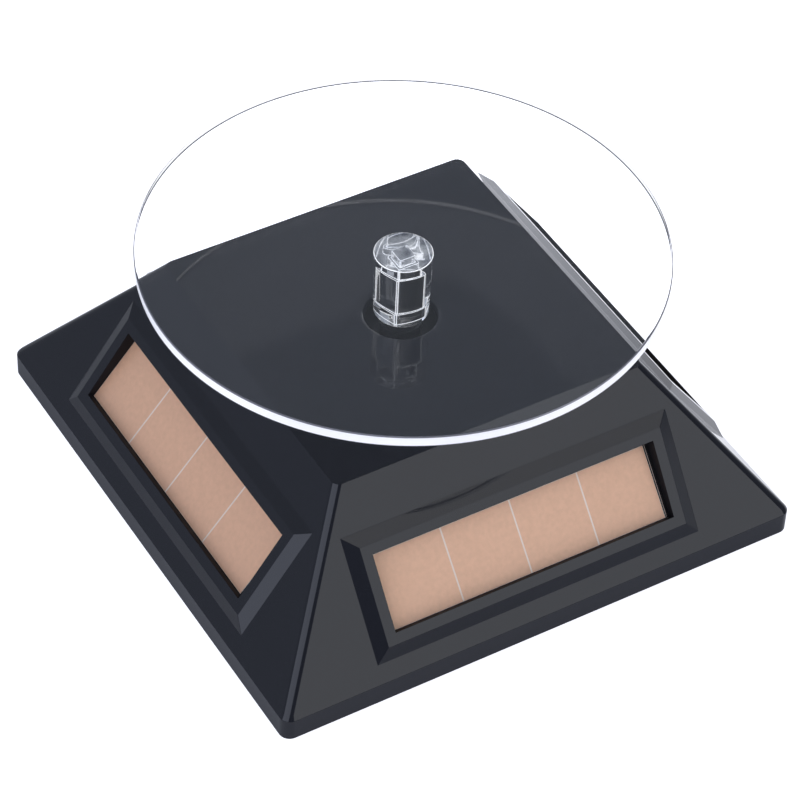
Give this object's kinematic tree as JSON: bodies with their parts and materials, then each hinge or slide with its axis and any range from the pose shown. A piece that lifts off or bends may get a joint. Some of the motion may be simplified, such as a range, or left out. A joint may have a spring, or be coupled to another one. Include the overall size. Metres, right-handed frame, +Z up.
{
  "type": "turntable display stand",
  "caption": "Square sloping-sided stand with solar cells in its faces and a clear round disc that a geared motor turns slowly.",
  "frame": {"origin": "on the surface the stand rests on, at the middle of its square base, on the spindle's axis", "axes": "+Z up along the spindle; -Y is the front face, +X to the right"},
  "size_m": [0.1, 0.1, 0.0482],
  "materials": {
    "housing": "polished black moulding",
    "cover": "fine satin black moulding",
    "solar_cell": "copper-brown film behind thin glass with pale scribe lines",
    "clear": "polished clear acrylic",
    "spindle": "satin black",
    "gear": "natural acetal",
    "steel": "plated",
    "motor_can": "drawn and plated",
    "ferrite": "sintered",
    "copper": "enamelled winding",
    "brass": "machined",
    "rubber": "matt",
    "battery": "plain printed sleeve",
    "board": "solder mask",
    "lead_red": "insulation",
    "lead_black": "insulation"
  },
  "bodies": {
    "base": {"upper_housing": "housing", "bottom_cover": "cover", "solar_cell_front": "solar_cell", "solar_cell_right": "solar_cell", "solar_cell_back": "solar_cell", "solar_cell_left": "solar_cell", "gear_pin_1": "steel", "gear_pin_2": "steel", "gearbox_base": "gear", "gearbox_cover": "spindle", "gearbox_screw_1": "steel", "gearbox_screw_2": "steel", "gearbox_screw_3": "steel", "gearbox_screw_4": "steel", "motor_case": "motor_can", "motor_magnet": "ferrite", "motor_end_cap": "gear", "motor_screw_1": "steel", "motor_screw_2": "steel", "cover_screw_1": "steel", "cover_screw_2": "steel", "cover_screw_3": "steel", "cover_screw_4": "steel", "rubber_foot_1": "rubber", "rubber_foot_2": "rubber", "rubber_foot_3": "rubber", "rubber_foot_4": "rubber", "aa_cell": "battery", "battery_contact": "steel", "battery_spring": "steel", "tag_board": "board", "lead_front_cell": "lead_red", "lead_right_cell": "lead_red", "lead_back_cell": "lead_red", "lead_left_cell": "lead_red", "lead_motor_1": "lead_black", "lead_motor_2": "lead_red", "lead_battery_positive": "lead_red", "lead_battery_negative": "lead_black"},
    "spindle_drive": {"spindle": "spindle", "spindle_gear": "gear", "spindle_washer": "steel"},
    "platter": {"display_disc": "clear", "drive_hub": "clear"},
    "second_gear": {"reduction_gear_2": "gear"},
    "first_gear": {"reduction_gear_1": "gear"},
    "rotor": {"motor_armature": "copper", "motor_commutator": "brass", "motor_shaft": "steel", "motor_pinion": "brass"},
    "door": {"battery_door": "cover"}
  },
  "joints": [
    {"name": "spindle_spin", "type": "hinge", "parent": "base", "child": "spindle_drive", "pos_m": [0, 0, 0.03], "axis": [0, 0, 1], "continuous": true},
    {"name": "platter_lift", "type": "slide", "parent": "spindle_drive", "child": "platter", "axis": [0, 0, 1], "range_m": [0, 0.013]},
    {"name": "second_gear_spin", "type": "hinge", "parent": "base", "child": "second_gear", "pos_m": [-0.01096, 0.00632, 0.02], "axis": [0, 0, 1], "continuous": true},
    {"name": "first_gear_spin", "type": "hinge", "parent": "base", "child": "first_gear", "pos_m": [-0.01315, -0.00613, 0.02], "axis": [0, 0, 1], "continuous": true},
    {"name": "rotor_spin", "type": "hinge", "parent": "base", "child": "rotor", "pos_m": [-0.00126, -0.01046, 0.02], "axis": [0, 0, 1], "continuous": true},
    {"name": "battery_door_hinge", "type": "hinge", "parent": "base", "child": "door", "pos_m": [-0.0262, 0.03, 0.0011], "axis": [0, 1, 0], "range_deg": [0, 85]}
  ],
  "couplings": [
    {"joint": "second_gear_spin", "follows": "spindle_spin", "ratio": -3.6},
    {"joint": "first_gear_spin", "follows": "spindle_spin", "ratio": 12.96},
    {"joint": "rotor_spin", "follows": "spindle_spin", "ratio": -46.656}
  ]
}
